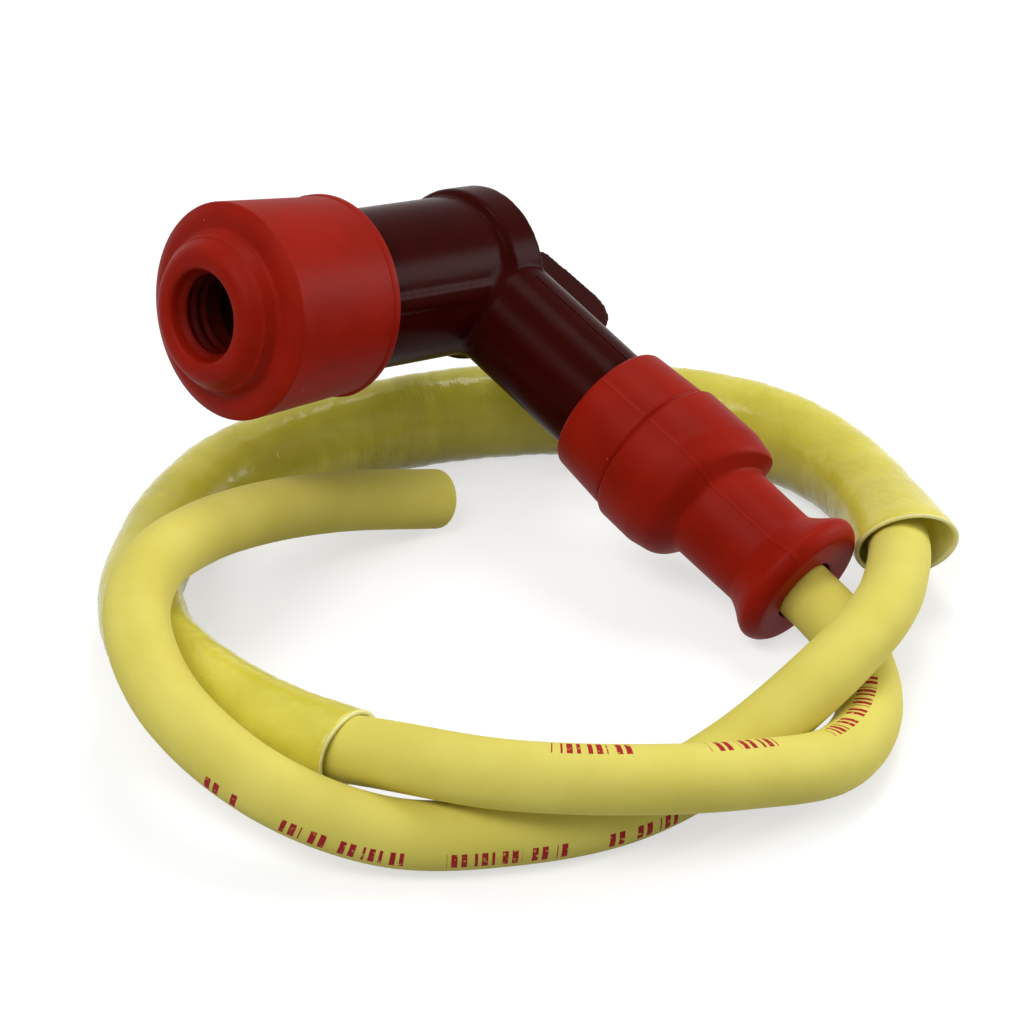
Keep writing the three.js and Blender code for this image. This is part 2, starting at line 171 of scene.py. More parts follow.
def swept(path, size_at, sides, level=False):
    """An open tube extruded ring by ring along a path.

    size_at gives half width, half height and lean for a share of the way. The place of each
    point along and round the tube is kept as attributes.
    """
    bm = bmesh.new()
    rings = []
    for i, centre in enumerate(path):
        tangent = path[min(i + 1, len(path) - 1)] - path[max(i - 1, 0)]
        if level:
            tangent.z = 0
        tangent.normalize()
        side = tangent.cross(Vector((0, 0, 1))).normalized()
        up = side.cross(tangent)
        half_width, half_height, lean = size_at(i / (len(path) - 1))
        across_ring, up_ring = side * half_width, up * half_height + tangent * lean
        ring = Matrix((across_ring, up_ring, tangent)).transposed().to_4x4()
        ring.translation = centre
        rings.append(ring)
    along, across, high = [bm.verts.layers.float.new(n) for n in ("along", "across", "high")]
    first = bmesh.ops.create_circle(bm, segments=sides, radius=1)["verts"]
    for vert in first:
        vert[across], vert[high] = vert.co.x, vert.co.y
    bmesh.ops.transform(bm, matrix=rings[0], verts=first)
    edges = bm.edges[:]
    travelled = 0
    for before, after in zip(rings, rings[1:]):
        made = bmesh.ops.extrude_edge_only(bm, edges=edges)["geom"]
        verts = [v for v in made if isinstance(v, bmesh.types.BMVert)]
        edges = [e for e in made if isinstance(e, bmesh.types.BMEdge)]
        edges = [e for e in edges if all(v in verts for v in e.verts)]
        bmesh.ops.transform(bm, matrix=after @ before.inverted(), verts=verts)
        travelled += (after.translation - before.translation).length
        for vert in verts:
            vert[along] = travelled
    bmesh.ops.recalc_face_normals(bm, faces=bm.faces)
    return bm


def with_wall(piece, thickness):
    """The outer skin gets a wall on its inner side; rim and inside take the second material."""
    piece.data.materials.append(None)
    piece.data.materials.append(None)
    wall = piece.modifiers.new("wall", "SOLIDIFY")
    wall.material_offset = 1
    wall.material_offset_rim = 1
    wall.thickness = thickness
    wall.offset = -1
    wall.use_even_offset = False
    return piece


def applied(piece):
    """The piece with its modifiers applied to its mesh."""
    depsgraph = bpy.context.evaluated_depsgraph_get()
    mesh = bpy.data.meshes.new_from_object(piece.evaluated_get(depsgraph))
    piece.modifiers.clear()
    piece.data = mesh
    return piece


# Ignition cable: one free length from the arm through the boot and twice round the loop
CABLE_D = 7 * MM
CABLE_WALL = 2.2 * MM
CABLE_SPACING = 1 * MM
CABLE_SIDES = 28
CABLE_START = 14
ARM_END = 31.3


def on_arm(distance):
    """The point on the arm's axis at a distance in millimetres from the elbow."""
    return ELBOW + arm_axis * distance * MM


CABLE_ROUTE = [
    *(on_arm(distance) for distance in (CABLE_START, 26.7, 39.4, 52.1)),
    *(
        Vector(point) * MM
        for point in (
            (38.4, 11.9, 4.7),
            (48, 4, 3.8),
            (52.9, -7.4, 5.2),
            (50.9, -19.4, 8.2),
            (45.6, -30.7, 10.6),
            (36.9, -39.6, 11.4),
            (25, -43.6, 9.9),
            (12.8, -45.9, 7.5),
            (0.2, -46.1, 5.9),
            (-12, -43.1, 4.8),
            (-22.6, -36.3, 4.6),
            (-30.4, -26.3, 4.6),
            (-34.1, -14.3, 4.6),
            (-33.6, -1.7, 4.6),
            (-29.7, 10.3, 4.6),
            (-23.2, 21.2, 4.6),
            (-14.5, 30.4, 4.6),
            (-3.9, 37.2, 4.6),
            (8.4, 40.1, 4.6),
            (20.6, 37.3, 5.3),
            (30.7, 29.9, 6.9),
            (38.4, 20.2, 9.5),
            (44.5, 9.3, 11.4),
            (46.7, -2.9, 10.1),
            (44.8, -14.6, 5.6),
            (42.2, -26.8, 3.75),
            (36.6, -38.1, 3.75),
            (28.5, -47.7, 4.5),
            (18.9, -54.7, 8.7),
            (7.3, -56.3, 13.1),
            (-4.1, -51.5, 15.4),
            (-12.4, -42.9, 15.3),
            (-17.1, -32.6, 13.4),
            (-18.9, -22.1, 11),
            (-18.6, -10.3, 7.9),
            (-16, 3.7, 3.6),
        )
    ),
]
cable_path, _ = smooth_path(CABLE_ROUTE, CABLE_SPACING)
cable_tube = swept(cable_path, lambda share: (CABLE_D / 2, CABLE_D / 2, 0), CABLE_SIDES)
cable = finished("cable_jacket", cable_tube)
applied(with_wall(cable, CABLE_WALL))

# The cut at the free end is a little rounded along its outer edge
END_ROUNDING = 0.8 * MM
END_SEGMENTS = 4
ON_THE_CUT = 0.05 * MM
OUTER_EDGE_FROM, OUTER_EDGE_TO = 3.4 * MM, 4 * MM
cable_bm = bmesh.new()
cable_bm.from_mesh(cable.data)
end_direction = (cable_path[-1] - cable_path[-2]).normalized()
end_edges = []
for edge in cable_bm.edges:
    from_end = [vert.co - cable_path[-1] for vert in edge.verts]
    on_the_cut = all(abs(v.dot(end_direction)) < ON_THE_CUT for v in from_end)
    if on_the_cut and all(OUTER_EDGE_FROM < v.length < OUTER_EDGE_TO for v in from_end):
        end_edges.append(edge)
bmesh.ops.bevel(
    cable_bm,
    geom=end_edges,
    offset=END_ROUNDING,
    offset_type="OFFSET",
    segments=END_SEGMENTS,
    profile=0.5,
    affect="EDGES",
    material=-1,
)
cable_bm.to_mesh(cable.data)
cable_bm.free()
shaded(cable.data)

# Sleeve: a loose oval tube over the back of the loop, a little wrinkled.
# Each station is x, y, z, half width, half height and lean, in millimetres.
SLEEVE_STATIONS = (
    (20.3, -44.9, 9, 4.7, 4.2, 0),
    (17.2, -45.3, 8.4, 4.8, 4.4, 0),
    (13.1, -46, 7.7, 4.9, 5, 0),
    (6.6, -46.4, 7, 4.9, 5.5, 0),
    (0.2, -46.1, 6.6, 4.9, 5.8, 0),
    (-6.1, -44.9, 6.1, 4.9, 5.8, 0),
    (-12, -43.1, 5.8, 4.9, 5.6, 0),
    (-17.6, -40.1, 5.7, 4.9, 5.5, 0),
    (-22.6, -36.3, 5.7, 4.6, 5.5, 0),
    (-26.6, -31.4, 5.7, 4.5, 5.5, 0),
    (-30.1, -26.2, 5.8, 4.5, 5.6, 0),
    (-32.5, -20.3, 5.9, 4.7, 5.8, 0),
    (-34.1, -14.3, 5.95, 4.9, 5.9, 0),
    (-34.3, -7.9, 5.95, 4.9, 5.9, 0),
    (-33.6, -1.7, 5.95, 4.9, 5.9, 0),
    (-32, 4.4, 5.95, 4.9, 5.9, 0),
    (-29.7, 10.3, 5.95, 4.9, 5.9, 0),
    (-26.8, 15.9, 5.95, 4.9, 5.9, 0),
    (-23.2, 21.2, 5.95, 4.9, 5.9, 0),
    (-19.1, 26.1, 5.95, 4.9, 5.9, 0),
    (-14.5, 30.4, 5.95, 4.9, 5.9, 0),
    (-9.4, 34.2, 5.95, 4.9, 5.9, 0),
    (-3.9, 37.2, 5.95, 4.9, 5.9, 0),
    (2.2, 39.2, 5.95, 4.9, 5.9, 0),
    (8.4, 39.8, 5.9, 4.7, 5.8, 0),
    (14.6, 38.8, 5.9, 4.6, 5.6, 0),
    (20.3, 36.7, 6, 4.7, 5.5, 0),
    (25.6, 33.7, 6.3, 5, 5.5, 0),
    (30.4, 30.3, 7, 5.6, 5.5, 0),
    (34.2, 27.4, 8, 6, 5.3, 2),
)
SLEEVE_WALL = 0.5 * MM
SLEEVE_SPACING = 0.7 * MM
SLEEVE_SIDES = 40
WRINKLE_DEPTH = 0.05 * MM
WRINKLES = ((1.9, 0), (0.83, 1))
sleeve_route = [Vector(station[:3]) * MM for station in SLEEVE_STATIONS]
sleeve_path, sleeve_places = smooth_path(sleeve_route, SLEEVE_SPACING)


def sleeve_size(share):
    """Half width, half height and lean of the sleeve between its stations, a little wrinkled."""
    place = share * sleeve_places[-1]
    i = max(k for k in range(len(SLEEVE_STATIONS) - 1) if sleeve_places[k] <= place)
    before, after = SLEEVE_STATIONS[i], SLEEVE_STATIONS[i + 1]
    mix = (place - sleeve_places[i]) / (sleeve_places[i + 1] - sleeve_places[i])
    sizes = [(before[k] * (1 - mix) + after[k] * mix) * MM for k in (3, 4, 5)]
    waves = [math.sin(place / MM * turn + start) for turn, start in WRINKLES]
    wrinkle = WRINKLE_DEPTH * sum(waves)
    return sizes[0] - abs(wrinkle), sizes[1] - abs(wrinkle), sizes[2]


sleeve = finished("sleeve", swept(sleeve_path, sleeve_size, SLEEVE_SIDES, level=True))
applied(with_wall(sleeve, SLEEVE_WALL))

# Plug boot: a tapered cup with a rear bead, a stepped front and a ribbed throat.
# Corners are distance from the elbow, radius and rounding, in millimetres.
PLUG_BOOT_STEPS = 96
plug_boot_bm = turned(
    (
        (21.2, 9.85, 0.2),
        (21.2, 11.5, 0.25),
        (21.85, 11.5, 0.25),
        (22.15, 11.12, 0.15),
        (36.55, 12, 0.22),
        (37.1, 10.9, 0.3),
        (37.2, 10.3, 0.2),
        (37.3, 8.95, 0.5),
        (38.9, 8.5, 0.08),
        (39.05, 8.25, 0.08),
        (40.6, 7.2, 0.9),
        (40.6, 5.15, 0.5),
        (39.3, 4.9, 0.2),
        (38.6, 4.3, 0.25),
        (37.9, 4.8, 0.2),
        (37.2, 4.3, 0.25),
        (36.5, 4.8, 0.2),
        (35.8, 4.3, 0.25),
        (35.1, 4.8, 0.2),
        (33.3, 4.8, 0.2),
        (33.3, 8.6, 0),
        (32.4, 9.85, 0),
    ),
    PLUG_BOOT_STEPS,
    closed=True,
)

# The bead is worn down to the skirt on one side
BEAD_END = 22.1 * MM
SKIRT_R = 11.08 * MM
BEAD_WEAR = 0.85
BEAD_WORN_AT = math.radians(-38)
for vert in plug_boot_bm.verts:
    radius = math.hypot(vert.co.x, vert.co.z)
    if vert.co.y < BEAD_END and radius > SKIRT_R:
        facing = max(math.cos(math.atan2(vert.co.x, vert.co.z) - BEAD_WORN_AT), 0)
        left = SKIRT_R + (radius - SKIRT_R) * (1 - BEAD_WEAR * facing**0.5)
        vert.co.x *= left / radius
        vert.co.z *= left / radius
plug_boot_bm.transform(plug_side)
plug_boot = finished("plug_boot_rubber", plug_boot_bm)

# Cable boot: two steps, a neck and a flared lip, with the raised line of its mould.
# The bent cable pulls at the boot: shoulder and lip reach further on the far side.
BOOT_STEPS = 220
cable_boot_bm = turned(
    (
        (25, 6.94, 0.2),
        (25, 8.05, 0.7),
        (32.45, 8.6, 0.25),
        (32.75, 8.35, 0.08),
        (33.2, 9.12, 0.3),
        (37.8, 9.17, 0.35),
        (40.9, 8.5, 0.9),
        (42.7, 6.3, 0.55),
        (51.6, 6.2, 0.4),
        (53, 6.8, 0.7),
        (54.3, 7.7, 0.4),
        (55.2, 8.12, 0.4),
        (56.2, 7.8, 0.4),
        (57, 6.95, 0.3),
        (57, 3.8, 0.3),
        (31.6, 3.8, 0),
        (31.6, 6.94, 0),
    ),
    BOOT_STEPS,
    closed=True,
)

# How the shoulder's reach grows and fades: distance along the boot in millimetres, share
REACH_ALONG = ((33.6, 0), (37.8, 1), (40.9, 1), (42.7, 0.4), (46, 0))
SHOULDER_REACH = 2.6 * MM
LIP_FLARE = 0.7 * MM
FLARE_START, FLARE_LENGTH = 52 * MM, 3 * MM
FAR_SIDE = math.radians(-36.6)

# The parting line follows two of the boot's own rows of points
PARTING_STEP = 29
PARTING = math.radians(90 - PARTING_STEP * 360 / BOOT_STEPS)
PARTING_HEIGHT = 0.1 * MM
PARTING_REACH = 0.01

# Radii that divide the boot's outside from its seat and its cable hole
SEAT_END, SEAT_LIMIT, HOLE_LIMIT = 31.7 * MM, 7.2 * MM, 4.3 * MM


def shoulder_reach(distance):
    """Share of the shoulder's reach at a distance in millimetres along the boot."""
    for (start, low), (end, high) in zip(REACH_ALONG, REACH_ALONG[1:]):
        if start <= distance < end:
            return low + (high - low) * (distance - start) / (end - start)
    return 0


for vert in cable_boot_bm.verts:
    distance, radius = vert.co.y, math.hypot(vert.co.x, vert.co.z)
    if radius <= (SEAT_LIMIT if distance < SEAT_END else HOLE_LIMIT):
        continue
    around = math.atan2(vert.co.x, vert.co.z)
    toward = max(math.cos(around - FAR_SIDE), 0)
    raised = min(max((distance - FLARE_START) / FLARE_LENGTH, 0), 1) * LIP_FLARE * toward
    if abs(math.sin(around - PARTING)) < PARTING_REACH:
        raised += PARTING_HEIGHT
    vert.co += Vector((vert.co.x, 0, vert.co.z)) * (raised / radius)
    vert.co.y += shoulder_reach(distance / MM) * SHOULDER_REACH * toward**2
cable_boot_bm.transform(cable_side)
cable_boot = finished("cable_boot_rubber", cable_boot_bm)

# Moulded body: its forms are joined, remeshed so that they flow together, then bored
BARREL_R = 9.17
BARREL_STEPS = 96
ARM_R = 6.64
ARM_STEPS = 72
barrel = turned(
    (
        (-4.1, 0, 0),
        (-4.1, 8.85, 0.3),
        (-3.5, 9.35, 0.1),
        (-3.4, 9.95, 0.3),
        (1.4, 9.95, 0.3),
        (1.75, 9.6, 0.1),
        (2, BARREL_R, 0),
        (33, BARREL_R, 0.6),
        (33, 0, 0),
    ),
    BARREL_STEPS,
)
barrel.transform(plug_side)
arm = turned(((0, 0, 0), (0, ARM_R, 0), (ARM_END, ARM_R, 0.5), (ARM_END, 0, 0)), ARM_STEPS)
arm.transform(cable_side)

FIN_OUTLINE = (
    (-5, 0.2),
    (-13.4, 0.2),
    (-14.1, 1),
    (-14.6, 9.2),
    (-14.2, 11.2),
    (-12.9, 13.1),
    (-11.2, 14.2),
    (-5, 14.6),
)
FIN_THICKNESS = 2 * MM
fin = bmesh.new()
fin_corners = [fin.verts.new((x * MM, y * MM, -FIN_THICKNESS / 2)) for x, y in FIN_OUTLINE]
fin_face = fin.faces.new(fin_corners)
fin_top = bmesh.ops.extrude_face_region(fin, geom=[fin_face])["geom"]
bmesh.ops.translate(
    fin,
    verts=[v for v in fin_top if isinstance(v, bmesh.types.BMVert)],
    vec=(0, 0, FIN_THICKNESS),
)
bmesh.ops.recalc_face_normals(fin, faces=fin.faces)
fin.transform(cable_side)

RIDGE_LENGTH, RIDGE_WIDTH, RIDGE_HEIGHT = 29 * MM, 1.7 * MM, 2 * MM
RIDGE_FROM_AXIS = 8.45 * MM
RIDGE_TURN = math.radians(-60)
ridge = bmesh.new()
bmesh.ops.create_cube(
    ridge,
    size=1,
    matrix=Matrix.Translation((0, RIDGE_LENGTH / 2, RIDGE_FROM_AXIS))
    @ Matrix.Diagonal((RIDGE_WIDTH, RIDGE_LENGTH, RIDGE_HEIGHT, 1)),
)
ridge.transform(plug_side @ Matrix.Rotation(RIDGE_TURN, 4, "Y"))


def add_forms(bm, forms):
    """Adds other bmeshes to a bmesh, and frees them."""
    for form in forms:
        mesh = bpy.data.meshes.new("form")
        form.to_mesh(mesh)
        form.free()
        bm.from_mesh(mesh)
        bpy.data.meshes.remove(mesh)


VOXEL = 0.28 * MM
FILLET_FACTOR = 0.5
FILLET_PASSES = 4
body_bm = bmesh.new()
add_forms(body_bm, (barrel, arm, fin, ridge))
body = finished("moulded_body", body_bm)
remesh = body.modifiers.new("joined", "REMESH")
remesh.mode = "VOXEL"
remesh.voxel_size = VOXEL
remesh.use_smooth_shade = True
smooth = body.modifiers.new("fillets", "SMOOTH")
smooth.factor = FILLET_FACTOR
smooth.iterations = FILLET_PASSES
applied(body)

# The arm's root gets a wider fillet where it meets the barrel
ROOT_BAND = 1.3 * MM
ROOT_START, ROOT_END = 1.2 * MM, 9 * MM
ROOT_PASSES = 24
body_bm = bmesh.new()
body_bm.from_mesh(body.data)


def reach(vert, axis, radius):
    """How far a point is outside a round bar along an axis from the elbow."""
    from_elbow = vert.co - ELBOW
    return (from_elbow - axis * from_elbow.dot(axis)).length - radius * MM


roots = []
for vert in body_bm.verts:
    from_elbow = vert.co - ELBOW
    on_plug_side, on_cable_side = from_elbow.dot(plug_axis), from_elbow.dot(arm_axis)
    by_barrel = abs(reach(vert, plug_axis, BARREL_R)) < ROOT_BAND
    by_arm = abs(reach(vert, arm_axis, ARM_R)) < ROOT_BAND and on_cable_side > 0
    if by_barrel and by_arm and ROOT_START < on_plug_side < ROOT_END:
        roots.append(vert)
for _ in range(ROOT_PASSES):
    bmesh.ops.smooth_vert(
        body_bm,
        verts=roots,
        factor=FILLET_FACTOR,
        use_axis_x=True,
        use_axis_y=True,
        use_axis_z=True,
    )
body_bm.to_mesh(body.data)
body_bm.free()

# Fine line of the mould along the top of the arm
SEAM_R = 0.12 * MM
SEAM_LENGTH = 22 * MM
SEAM_CENTRE = (0, 20 * MM, 6.62 * MM)
SEAM_SIDES = 10
seam = bmesh.new()
bmesh.ops.create_cone(
    seam,
    cap_ends=True,
    segments=SEAM_SIDES,
    radius1=SEAM_R,
    radius2=SEAM_R,
    depth=SEAM_LENGTH,
    matrix=Matrix.Translation(SEAM_CENTRE) @ Matrix.Rotation(math.radians(90), 4, "X"),
)
seam.transform(cable_side)

# Main bore for the contacts, and the arm's bore for the stud and the cable
MAIN_BORE_STEPS = 48
ARM_BORE_STEPS = 40
main_bore = turned(
    (
        (-2.4, 0, 0),
        (-2.4, 3.6, 0),
        (22.2, 3.6, 0),
        (22.2, 5.7, 0),
        (32.4, 5.7, 0),
        (34, 7.3, 0),
        (34, 0, 0),
    ),
    MAIN_BORE_STEPS,
)
main_bore.transform(plug_side)
arm_bore = turned(
    ((0, 0, 0), (0, 1.5, 0), (9.4, 1.5, 0), (9.4, 3.8, 0), (33, 3.8, 0), (33, 0, 0)),
    ARM_BORE_STEPS,
)
arm_bore.transform(cable_side)
bores = [finished("main_bore", main_bore), finished("arm_bore", arm_bore)]
for bore in bores:
    cut = body.modifiers.new(bore.name, "BOOLEAN")
    cut.operation = "DIFFERENCE"
    cut.solver = "EXACT"
    cut.object = bore
applied(body)
for bore in bores:
    bpy.data.objects.remove(bore)
body_bm = bmesh.new()
body_bm.from_mesh(body.data)
add_forms(body_bm, (seam,))
body_bm.to_mesh(body.data)
body_bm.free()
shaded(body.data, BODY_SHARP)


# Finishes
def colour(code):
    """Linear RGBA from an sRGB hex code."""
    parts = [int(code[i : i + 2], 16) / 255 for i in (0, 2, 4)]
    return (*(p / 12.92 if p <= 0.04045 else ((p + 0.055) / 1.055) ** 2.4 for p in parts), 1)


def add_node(tree, kind, settings=None, inputs=None):
    """A shader node with its settings, and its inputs as values or links."""
    made = tree.nodes.new("ShaderNode" + kind)
    for name, value in (settings or {}).items():
        setattr(made, name, value)
    for socket, value in (inputs or {}).items():
        if isinstance(value, bpy.types.NodeSocket):
            tree.links.new(value, made.inputs[socket])
        else:
            made.inputs[socket].default_value = value
    return made


def per_mm(size):
    """Noise scale for features of a size in millimetres."""
    return 1 / (size * MM)


def ranged(tree, value, source=(0.0, 1.0), result=(0.0, 1.0)):
    """A value carried over from one range to another, and held at the ends."""
    ends = {"From Min": source[0], "From Max": source[1], "To Min": result[0], "To Max": result[1]}
    return add_node(tree, "MapRange", None, {"Value": value, **ends}).outputs[0]


def reckoned(tree, operation, *values):
    """The result of a Math node."""
    return add_node(tree, "Math", {"operation": operation}, dict(enumerate(values))).outputs[0]


def vector_reckoned(tree, operation, *values):
    """The result of a VectorMath node: a number for a dot product or a length, else a vector."""
    made = add_node(tree, "VectorMath", {"operation": operation}, dict(enumerate(values)))
    return made.outputs["Value" if operation in ("DOT_PRODUCT", "LENGTH") else "Vector"]


def blended(tree, share, before, after):
    """The colour between two others at a share of the way."""
    made = add_node(tree, "Mix", {"data_type": "RGBA"}, {0: share, 6: before, 7: after})
    return made.outputs[2]


def noisy(tree, place, size, detail=3.0):
    """Noise with features of a size in millimetres."""
    inputs = {"Vector": place, "Scale": per_mm(size), "Detail": detail}
    return add_node(tree, "TexNoise", None, inputs).outputs[0]


def bumped(tree, height, depth, strength=0.5, normal=None):
    """A bump of a depth in millimetres, on top of another one if that is given."""
    inputs = {"Strength": strength, "Distance": depth * MM, "Height": height}
    if normal is not None:
        inputs["Normal"] = normal
    return add_node(tree, "Bump", None, inputs).outputs[0]


def new_material(name):
    """A material with an empty node tree."""
    material = bpy.data.materials.new(name)
    material.use_nodes = True
    material.node_tree.nodes.clear()
    return material, material.node_tree


def close_material(tree, settings):
    """Ends a tree with a Principled shader."""
    shader = add_node(tree, "BsdfPrincipled", None, settings)
    add_node(tree, "OutputMaterial", None, {"Surface": shader.outputs[0]})


PATCH_RANGE = (0.35, 0.65)
PATCH_DETAIL = 4.0


def mottled(tree, pale, dark, size):
    """Colour that drifts between two tones over patches of a size in millimetres.

    Returned are the place, the colour and the patches' noise.
    """
    place = add_node(tree, "TexCoord").outputs["Object"]
    patches = noisy(tree, place, size, PATCH_DETAIL)
    share = ranged(tree, patches, PATCH_RANGE)
    return place, blended(tree, share, colour(dark), colour(pale)), patches


def grain(tree, place, size, depth):
    """A fine bump of a size and depth in millimetres."""
    return bumped(tree, noisy(tree, place, size), depth)


THROAT_RADII = (5.3 * MM, 4.8 * MM)
THROAT_DEPTHS = (40.4 * MM, 37.6 * MM)


def painted_throat_shade(tree, place):
    """1 inside the plug boot's throat, where painted shade darkens the red."""
    off = vector_reckoned(tree, "SUBTRACT", place, ELBOW)
    along = vector_reckoned(tree, "DOT_PRODUCT", off, plug_axis)
    away = vector_reckoned(tree, "CROSS_PRODUCT", off, plug_axis)
    radius = vector_reckoned(tree, "LENGTH", away)
    narrow = ranged(tree, radius, THROAT_RADII)
    deep = ranged(tree, along, THROAT_DEPTHS)
    return reckoned(tree, "MULTIPLY", narrow, deep)


DUST_SIZE = 2.6
DUST_EDGE = (0.05, 0.025)
DUST_PICKED = 0.72
DUST_STRENGTH = 0.45


def red_rubber():
    """Red silicone rubber, moulded: satin, soft edges, a few specks of dust, and painted shade in
    the plug boot's throat.
    """
    material, tree = new_material("moulded_red_silicone_rubber")
    place, unshaded, patches = mottled(tree, "8F1706", "831203", 6)
    # Painted shade: inside the plug boot's throat the red is mixed towards a dark red.
    base = blended(tree, painted_throat_shade(tree, place), unshaded, colour("400501"))
    cells = {"Vector": place, "Scale": per_mm(DUST_SIZE)}
    dust = add_node(tree, "TexVoronoi", {"feature": "F1"}, cells).outputs
    speck = ranged(tree, dust["Distance"], DUST_EDGE)
    picked = reckoned(tree, "GREATER_THAN", dust["Color"], DUST_PICKED)
    shown = reckoned(tree, "MULTIPLY", speck, picked)
    faint = reckoned(tree, "MULTIPLY", shown, DUST_STRENGTH)
    close_material(
        tree,
        {
            "Base Color": blended(tree, faint, base, colour("D88A78")),
            "Roughness": ranged(tree, patches, result=(0.42, 0.54)),
            "IOR": 1.43,
            "Specular IOR Level": 0.08,
            "Normal": grain(tree, place, 0.35, 0.02),
        },
    )
    return material


def maroon_phenolic():
    """Dark phenolic resin, compression moulded: hard gloss with a faint orange peel."""
    material, tree = new_material("moulded_maroon_phenolic")
    place, base, patches = mottled(tree, "320704", "2C0603", 5)
    close_material(
        tree,
        {
            "Base Color": base,
            "Roughness": ranged(tree, patches, result=(0.2, 0.3)),
            "IOR": 1.6,
            "Specular IOR Level": 0.012,
            "Normal": grain(tree, place, 1.2, 0.03),
        },
    )
    return material


# Print on the cable: groups from and to, in millimetres along it
PRINTED = (
    (60, 78),
    (84, 93),
    (98, 109),
    (114, 117),
    (360, 371),
    (375, 385),
    (389, 402),
    (404, 407.5),
)

# Pitch and width, in millimetres, of the bars and of the fine strokes that they are cut into
BAR_PATTERNS = ((2.6, 1.9), (0.95, 0.58))

# Where the print moves from the top of the ring to its outer side, and both directions
PRINT_TURNS_AT = 200
FIRST_SIDE, LATER_SIDE = (0.1, 0.995, 0), (-0.97, -0.24, 0)
PRINT_BAND = 0.955
PRINT_WEAR_SIZE = 0.5
PRINT_WEAR = (0.28, 0.4)
BLACK, WHITE = (0, 0, 0, 1), (1, 1, 1, 1)


def printed_bars(tree, place):
    """Where the worn print lies: groups of plain bars, on the top and later on the outer side."""
    along, across, high = (
        add_node(tree, "Attribute", {"attribute_name": name}).outputs["Fac"]
        for name in ("along", "across", "high")
    )
    groups = add_node(tree, "ValToRGB", None, {"Fac": along})
    ramp = groups.color_ramp
    ramp.interpolation = "CONSTANT"
    ramp.elements[0].color = BLACK
    ramp.elements[1].position = 1
    ramp.elements[1].color = BLACK
    for start, end in PRINTED:
        ramp.elements.new(start * MM).color = WHITE
        ramp.elements.new(end * MM).color = BLACK
    masks = []
    for pitch, width in BAR_PATTERNS:
        step = reckoned(tree, "MODULO", along, pitch * MM)
        masks.append(reckoned(tree, "LESS_THAN", step, width * MM))
    later = reckoned(tree, "GREATER_THAN", along, PRINT_TURNS_AT * MM)
    sides = {0: later, 4: FIRST_SIDE, 5: LATER_SIDE}
    side = add_node(tree, "Mix", {"data_type": "VECTOR"}, sides).outputs[1]
    on_ring = add_node(tree, "CombineXYZ", None, {"X": across, "Y": high}).outputs[0]
    facing = vector_reckoned(tree, "DOT_PRODUCT", on_ring, side)
    masks.append(reckoned(tree, "GREATER_THAN", facing, PRINT_BAND))
    masks.append(ranged(tree, noisy(tree, place, PRINT_WEAR_SIZE), PRINT_WEAR))
    shown = groups.outputs["Color"]
    for mask in masks:
        shown = reckoned(tree, "MULTIPLY", shown, mask)
    return shown


def yellow_silicone():
    """Extruded pale yellow silicone jacket: matte, with worn red print as plain bars."""
    material, tree = new_material("extruded_yellow_silicone")
    place, base, patches = mottled(tree, "D9CE66", "D2C65C", 8)
    close_material(
        tree,
        {
            "Base Color": blended(tree, printed_bars(tree, place), base, colour("A0262A")),
            "Roughness": ranged(tree, patches, result=(0.5, 0.6)),
            "IOR": 1.41,
            "Specular IOR Level": 0.08,
            "Subsurface Weight": 0.15,
            "Subsurface Radius": (1.0, 0.7, 0.25),
            "Subsurface Scale": 0.6 * MM,
            "Normal": grain(tree, place, 0.5, 0.02),
        },
    )
    return material


RIB_SPACING = 0.5 * MM
RIB_DEPTH = 0.02
RIB_STRENGTH = 0.12
SKIN_SIZE = 1.6
SKIN_DEPTH = 0.25


def sleeve_silicone():
    """Thin silicone sleeve: a glossy, uneven skin with fine ribs that lets some light through."""
    material, tree = new_material("glossy_yellow_silicone_sleeve")
    place, base, _ = mottled(tree, "D5C950", "C9BE42", 5)
    along = add_node(tree, "Attribute", {"attribute_name": "along"}).outputs["Fac"]
    wave = reckoned(tree, "SINE", reckoned(tree, "MULTIPLY", along, math.tau / RIB_SPACING))
    ribbed = bumped(tree, wave, RIB_DEPTH, RIB_STRENGTH)
    uneven = bumped(tree, noisy(tree, place, SKIN_SIZE), SKIN_DEPTH, normal=ribbed)
    close_material(
        tree,
        {
            "Base Color": base,
            "Roughness": 0.2,
            "IOR": 1.43,
            "Specular IOR Level": 0.28,
            "Subsurface Weight": 0.6,
            "Subsurface Radius": (1.0, 0.85, 0.35),
            "Subsurface Scale": 1.5 * MM,
            "Normal": uneven,
        },
    )
    return material


def plain_silicone(name, pale, dark):
    """Matte silicone without the outer skin, a little see-through at thin edges."""
    material, tree = new_material(name)
    place, base, _ = mottled(tree, pale, dark, 3)
    close_material(
        tree,
        {
            "Base Color": base,
            "Roughness": 0.6,
            "IOR": 1.41,
            "Specular IOR Level": 0.08,
            "Subsurface Weight": 0.6,
            "Subsurface Radius": (1.0, 0.85, 0.35),
            "Subsurface Scale": 1.5 * MM,
            "Normal": grain(tree, place, 0.4, 0.02),
        },
    )
    return material


def metal(name, pale, dark, roughness, size=0.6):
    """Bare or plated metal: tone patches of a size in millimetres and fine tool marks."""
    material, tree = new_material(name)
    place, base, _ = mottled(tree, pale, dark, size)
    close_material(
        tree,
        {
            "Base Color": base,
            "Metallic": 1.0,
            "Roughness": roughness,
            "Normal": grain(tree, place, 0.15, 0.01),
        },
    )
    return material


def ceramic():
    """Glazed ceramic resistor body: pale and slightly mottled."""
    material, tree = new_material("fired_ceramic")
    place, base, _ = mottled(tree, "D8D0BC", "C4BBA4", 1.2)
    close_material(
        tree,
        {"Base Color": base, "Roughness": 0.55, "Normal": grain(tree, place, 0.3, 0.02)},
    )
    return material


rubber = red_rubber()
# Warm yellow metal with a satin turned surface
brass = metal("turned_brass", "D0A850", "B48A38", 0.3)
